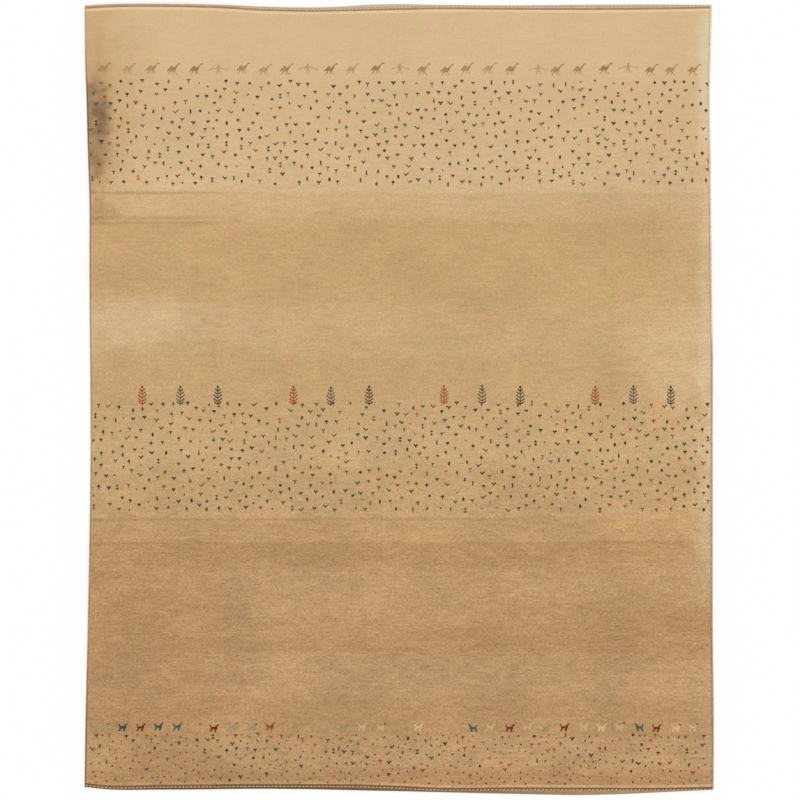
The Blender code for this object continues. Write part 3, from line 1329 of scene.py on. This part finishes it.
class KnotBook:
    """Knots gathered for one piece: where each sits on the lattice, and its wool's colour."""

    def __init__(self, looks, seed):
        self.across = looks.knot_across
        self.along = looks.knot_along
        self.draws = np.random.default_rng(seed)
        self.knots = []

    def motif(self, chart, x_mm, up_mm, wool, second=None, turned=False):
        """Work one chart with its middle near a place, given across and up in millimetres."""
        column = round(x_mm * MM / self.across)
        row = round((up_mm * MM + RUG_LOW.y) / self.along)
        own = linear(MOTIF_WOOLS[wool])
        head = linear(MOTIF_WOOLS[second or wool])
        shade = self.draws.uniform(0.88, 1.12)
        columns = column + chart[:, 0] * (-1 if turned else 1)
        colour = np.where(chart[:, 2:] == 1, head, own) * shade
        self.knots.append(np.column_stack([columns * self.across, (row + chart[:, 1]) * self.along, colour]))

    def mesh(self, name, looks):
        """All the knots as one mesh.

        A knot is a low pyramid of cut wool on four corners, closed below by a point sunk in the
        pile. Knots that would fall off the pile are left out.
        """
        knots = np.concatenate(self.knots)
        keep = np.minimum(from_side(knots[:, 0], knots[:, 1]), from_foot(knots[:, 0], knots[:, 1]))
        knots = knots[keep > KNOT_MARGIN]
        count = len(knots)
        x, y = knots[:, 0], knots[:, 1]
        x = x + self.draws.normal(0, KNOT_WANDER, count)
        y = y + self.draws.normal(0, KNOT_WANDER, count)
        z = surface_height(x, y)
        square = np.array([(-1, -1), (1, -1), (1, 1), (-1, 1)])
        half = np.array([self.across, self.along]) * KNOT_HALF
        spread = self.draws.normal(1, 0.06, (count, 4, 1))
        points = np.zeros((count, 6, 3))
        points[:, :4, :2] = np.stack([x, y], axis=1)[:, None] + square * half * spread
        points[:, :4, 2] = (z + CORNER_RISE)[:, None] + self.draws.normal(0, CORNER_WANDER, (count, 4))
        points[:, 4:, 0] = x[:, None]
        points[:, 4:, 1] = y[:, None]
        points[:, 4, 2] = z + looks.knot_rise * self.draws.uniform(0.8, 1.2, count)
        points[:, 5, 2] = z - KNOT_DEPTH
        first = 6 * np.arange(count)[:, None, None]
        ring = np.arange(4)
        after = (ring + 1) % 4
        below = np.stack([after, ring, 0 * ring + 5], axis=1)
        above = np.stack([ring, after, 0 * ring + 4], axis=1)
        faces = np.concatenate([(first + below).reshape(-1, 3), (first + above).reshape(-1, 3)])
        mesh = make_mesh(name, points.reshape(-1, 3), [faces])
        grain = self.draws.uniform(0.88, 1.12, (count, 1))
        set_dye(mesh, np.repeat(knots[:, 2:5] * grain, 6, axis=0))
        set_map(mesh, knot_map(count))
        return mesh


def knot_map(count):
    """Flat map of many knots: each has a square of its own, laid out in rows, with its point in
    the middle. What is under a knot shares its square."""
    wide = int(np.ceil(np.sqrt(count)))
    number = np.arange(count)
    cell = np.stack([number % wide, number // wide], axis=1)
    corner = np.array([(0.1, 0.1), (0.9, 0.1), (0.9, 0.9), (0.1, 0.9), (0.5, 0.5), (0.5, 0.5)])
    places = (cell[:, None] + corner) / wide
    ring = np.arange(4)
    after = (ring + 1) % 4
    below = places[:, np.stack([after, ring, 0 * ring + 5], axis=1)]
    above = places[:, np.stack([ring, after, 0 * ring + 4], axis=1)]
    return np.concatenate([below.reshape(-1, 2), above.reshape(-1, 2)])


def scattered(field, width):
    """Places in a field, in millimetres, none nearer than apart to another: places are drawn
    evenly, and one that is too near to those already kept is passed over."""
    draws = np.random.default_rng(field.seed)
    kept = np.zeros((0, 2))
    for _ in range(60 * field.count):
        place = draws.uniform((-width / 2, field.low), (width / 2, field.high))
        if len(kept) == field.count:
            break
        if np.all(np.hypot(*(kept - place).T) > field.apart):
            kept = np.vstack([kept, place])
    return kept


def make_caravan(looks):
    """A line of camels led by herders: after every three or five camels comes a herder, from whose
    hands a lead of single knots runs to the camels on either side."""
    camel, herder = charts_of(CAMEL)[0], charts_of(HERDER)[0]
    book = KnotBook(looks, 61)
    for i, figure in enumerate(CARAVAN):
        x = CARAVAN_FIRST + i * CARAVAN_STEP + book.draws.uniform(-9, 9)
        up = CARAVAN_UP + book.draws.uniform(-4, 4)
        if figure == "H":
            book.motif(herder, x, up, "fawn")
            reach = np.arange(4, 14)
            for way in (-1, 1):
                lead = np.stack([way * reach, 1 - (reach - 4) // 4, 0 * reach], axis=1)
                book.motif(lead, x, up, "straw")
        else:
            book.motif(camel, x, up, CAMEL_WOOLS[i % len(CAMEL_WOOLS)], second="straw")
    return book.mesh("caravan_row", looks)


def make_trees(looks):
    """Groups of three trees, red, dark blue and green, across the middle of the rug."""
    tree = charts_of(TREE)[0]
    book = KnotBook(looks, 67)
    for group in range(TREE_GROUPS):
        for i, wool in enumerate(TREE_WOOLS):
            x = TREE_FIRST + group * TREE_GROUP_STEP + i * TREE_STEP
            book.motif(tree, x, TREE_UP + book.draws.uniform(-3, 3), wool)
    return book.mesh("tree_row", looks)


def make_herd(looks):
    """A row of small long-necked animals near the lower end."""
    animal = charts_of(ANIMAL)[0]
    book = KnotBook(looks, 71)
    for i, entry in enumerate(HERD):
        own, _, head = entry.strip("<").partition("/")
        x = HERD_FIRST + i * HERD_STEP + book.draws.uniform(-3, 3)
        up = HERD_UP + book.draws.uniform(-3, 3)
        book.motif(animal, x, up, own, second=head or own, turned=entry.startswith("<"))
    return book.mesh("animal_row", looks)


def make_sprigs(field, looks):
    """One field of sprigs and dots, each with a chart and a wool drawn by the odds."""
    sprigs, dots = charts_of(SPRIGS), charts_of(DOTS)
    book = KnotBook(looks, field.seed + 1)
    width = (CLOTH_HIGH.x - CLOTH_LOW.x) / MM - 30
    for x, up in scattered(field, width):
        rise = (up - field.low) / (field.high - field.low)
        dots_share = field.dots_bottom + (field.dots_top - field.dots_bottom) * rise
        kinds, table = (dots, DOT_ODDS) if book.draws.uniform() < dots_share else (sprigs, SPRIG_ODDS)
        chart = kinds[book.draws.integers(len(kinds))]
        odds = np.array(list(table.values()))
        wool, stem = book.draws.choice(list(table), 2, p=odds / odds.sum())
        if book.draws.uniform() > looks.two_wools:
            stem = wool
        book.motif(chart, x, up, wool, second=stem, turned=book.draws.uniform() < 0.5)
    return book.mesh(field.name, looks)


class RugLooks(PropertyGroup):
    """Sizes and colours of the finish that a user would change."""

    knot_across: FloatProperty(
        name="Knot width", description="Pitch of the knots across the rug", default=2.9 * MM, unit="LENGTH"
    )
    knot_along: FloatProperty(
        name="Knot length", description="Pitch of the knots along the rug", default=2.8 * MM, unit="LENGTH"
    )
    knot_rise: FloatProperty(
        name="Motif rise",
        description="How far a motif's knot stands over the field",
        default=0.5 * MM,
        unit="LENGTH",
    )
    two_wools: FloatProperty(
        name="Two wools",
        description="Share of the sprigs whose stem has its own wool",
        default=0.4,
        subtype="FACTOR",
    )
    pile_relief: FloatProperty(
        name="Pile relief", description="Depth of the pile's surface", default=0.9 * MM, unit="LENGTH"
    )
    weave_relief: FloatProperty(
        name="Weave relief", description="Depth of the flat weave", default=0.4 * MM, unit="LENGTH"
    )
    yarn_relief: FloatProperty(
        name="Yarn relief", description="Depth of the fibres on yarn", default=0.2 * MM, unit="LENGTH"
    )
    wrap_pitch: FloatProperty(
        name="Wrap pitch",
        description="Length of edge that one wrap of yarn covers",
        default=5 * MM,
        unit="LENGTH",
    )
    twist_pitch: FloatProperty(
        name="Twist pitch",
        description="Length of one turn of the outer twined row",
        default=15 * MM,
        unit="LENGTH",
    )
    underside_shade: FloatProperty(
        name="Underside",
        description="Brightness of the back against the face",
        default=0.86,
        subtype="FACTOR",
    )
    selvedge_shade: FloatProperty(
        name="Selvedges", description="Brightness of the overcast edges", default=1.0, min=0.0, max=1.2
    )
    # The upper braid's brown is partly painted light: made lighter against the shade in the groove between
    # the braid and the pile
    upper_braid: FloatVectorProperty(
        name="Upper braid",
        description="Brown of the upper braid",
        default=(0.80, 0.66, 0.50),
        subtype="COLOR_GAMMA",
    )
    lower_braid: FloatVectorProperty(
        name="Lower braid",
        description="Brown of the lower braid",
        default=(0.64, 0.47, 0.30),
        subtype="COLOR_GAMMA",
    )
    braid_ivory: FloatVectorProperty(
        name="Braid ivory",
        description="Pale yarn of both braids",
        default=(0.91, 0.83, 0.70),
        subtype="COLOR_GAMMA",
    )


class RugStage(PropertyGroup):
    """Camera, light and floor."""

    camera_height: FloatProperty(
        name="Camera height", description="Height of the camera over the pile", default=7.315, unit="LENGTH"
    )
    lens: FloatProperty(name="Lens", description="Focal length in millimetres", default=85.0, unit="CAMERA")
    key_strength: FloatProperty(name="Key light", description="Strength of the soft key light", default=1.5)
    sky_strength: FloatProperty(
        name="Fill light", description="Strength of the even light all round", default=0.62
    )
    floor_size: IntProperty(name="Floor", description="Side of the floor, in metres", default=80)


class RUG_OT_cloth(Operator):
    """Make the knotted cloth with its hems"""

    bl_idname = "rug.cloth"
    bl_label = "Knotted cloth"

    def execute(self, context):
        looks = context.scene.rug_looks
        woven = [woven_finish(name, looks) for name in ("flat_woven_hem", "knot_backs")]
        finishes = [pile_finish(looks), *woven]
        cloth = add_piece("rug_cloth", make_cloth(looks), "pile_wool", *finishes)
        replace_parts(cloth, "knotted_cloth")
        return {"FINISHED"}


class RUG_OT_selvedges(Operator):
    """Overcast the two long edges"""

    bl_idname = "rug.selvedges"
    bl_label = "Selvedges"

    def execute(self, context):
        looks = context.scene.rug_looks
        finish = yarn_finish("overcast_yarn", looks, grain=900)
        for name, edge, outwards, node in (
            ("overcast_left", left_side, -1, "selvedge_left"),
            ("overcast_right", right_side, 1, "selvedge_right"),
        ):
            piece = add_piece(name, make_selvedge(name, edge, outwards, looks), "selvedge_wool", finish)
            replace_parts(piece, node)
        return {"FINISHED"}


class RUG_OT_braids(Operator):
    """Twine the rows on the two woven ends"""

    bl_idname = "rug.braids"
    bl_label = "End braids"

    def execute(self, context):
        looks = context.scene.rug_looks
        finish = yarn_finish("twined_yarn", looks, grain=900)
        for end in BRAIDED_ENDS:
            mesh = make_braid("twined_" + end.name, end, looks)
            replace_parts(add_piece(mesh.name, mesh, "braid_wool", finish), "end_braid_" + end.name)
        return {"FINISHED"}


class RUG_OT_rows(Operator):
    """Knot the rows of camels, trees and animals"""

    bl_idname = "rug.rows"
    bl_label = "Rows of motifs"

    def execute(self, context):
        looks = context.scene.rug_looks
        finish = yarn_finish("motif_wool", looks, grain=500)
        for mesh in (make_caravan(looks), make_trees(looks), make_herd(looks)):
            add_piece(mesh.name, mesh, "motif_wool", finish)
        return {"FINISHED"}


class RUG_OT_sprigs(Operator):
    """Knot the three fields of sprigs"""

    bl_idname = "rug.sprigs"
    bl_label = "Fields of sprigs"

    def execute(self, context):
        looks = context.scene.rug_looks
        finish = bpy.data.materials["motif_wool"]
        for field in SPRIG_FIELDS:
            add_piece(field.name, make_sprigs(field, looks), "motif_wool", finish)
        return {"FINISHED"}


class RUG_OT_declare(Operator):
    """A step that does nothing; it keeps its place in the order of steps"""

    bl_idname = "rug.declare"
    bl_label = "Sheet of cloth"

    def execute(self, context):
        return {"FINISHED"}


class RUG_OT_stage(Operator):
    """Lay the floor, and set the light and the camera"""

    bl_idname = "rug.stage"
    bl_label = "Floor, light and camera"

    def execute(self, context):
        stage = context.scene.rug_stage
        half = stage.floor_size / 2
        corners = np.array([(-1, -1, 0), (1, -1, 0), (1, 1, 0), (-1, 1, 0)]) * half
        corners[:, 2] = -FLOOR_DROP
        floor_mesh = make_mesh("floor", corners, [np.array([[0, 1, 2, 3]])])
        paint = bpy.data.materials.new("pale_floor")
        paint.use_nodes = True
        shader = paint.node_tree.nodes["Principled BSDF"]
        shader.inputs["Base Color"].default_value = (0.985, 0.985, 0.985, 1)
        shader.inputs["Roughness"].default_value = 0.95
        shader.inputs["Specular IOR Level"].default_value = 0.0
        floor_mesh.materials.append(paint)
        floor = bpy.data.objects.new("floor", floor_mesh)
        context.scene.collection.objects.link(floor)

        world = bpy.data.worlds.new("even_light")
        world.use_nodes = True
        sky = world.node_tree.nodes["Background"]
        sky.inputs["Color"].default_value = (1, 1, 1, 1)
        sky.inputs["Strength"].default_value = stage.sky_strength
        context.scene.world = world

        key = bpy.data.lights.new("soft_key", "SUN")
        key.energy = stage.key_strength
        key.angle = KEY_WIDTH
        lamp = bpy.data.objects.new("soft_key", key)
        lamp.rotation_euler = KEY_TURN
        context.scene.collection.objects.link(lamp)

        camera = bpy.data.cameras.new("camera")
        camera.lens = stage.lens
        camera.sensor_width = 36
        camera.clip_end = 200
        eye = bpy.data.objects.new("camera", camera)
        eye.location = (*CAMERA_BESIDE, PILE_TOP + stage.camera_height)
        context.scene.collection.objects.link(eye)
        context.scene.camera = eye
        context.scene.view_settings.view_transform = "Standard"
        return {"FINISHED"}


class RUG_PT_panel(Panel):
    """Steps of the rug's looks, in order"""

    bl_idname = "RUG_PT_panel"
    bl_label = "Hand-knotted rug"
    bl_space_type = "VIEW_3D"
    bl_region_type = "UI"
    bl_category = "Rug"

    def draw(self, context):
        for step in STEPS:
            self.layout.operator(step.bl_idname)
        for settings in (context.scene.rug_looks, context.scene.rug_stage):
            for name in settings.__annotations__:
                self.layout.prop(settings, name)


STEPS = (
    RUG_OT_cloth,
    RUG_OT_selvedges,
    RUG_OT_braids,
    RUG_OT_rows,
    RUG_OT_sprigs,
    RUG_OT_declare,
    RUG_OT_stage,
)


def register():
    for group in (RugLooks, RugStage, *STEPS, RUG_PT_panel):
        bpy.utils.register_class(group)
    bpy.types.Scene.rug_looks = PointerProperty(type=RugLooks)
    bpy.types.Scene.rug_stage = PointerProperty(type=RugStage)


def unregister():
    del bpy.types.Scene.rug_stage
    del bpy.types.Scene.rug_looks
    for group in reversed((RugLooks, RugStage, *STEPS, RUG_PT_panel)):
        bpy.utils.unregister_class(group)


def main():
    register()
    bpy.ops.rug.cloth()
    bpy.ops.rug.selvedges()
    bpy.ops.rug.braids()
    bpy.ops.rug.rows()
    bpy.ops.rug.sprigs()
    bpy.ops.rug.declare()
    bpy.ops.rug.stage()


if __name__ == "__main__":
    main()
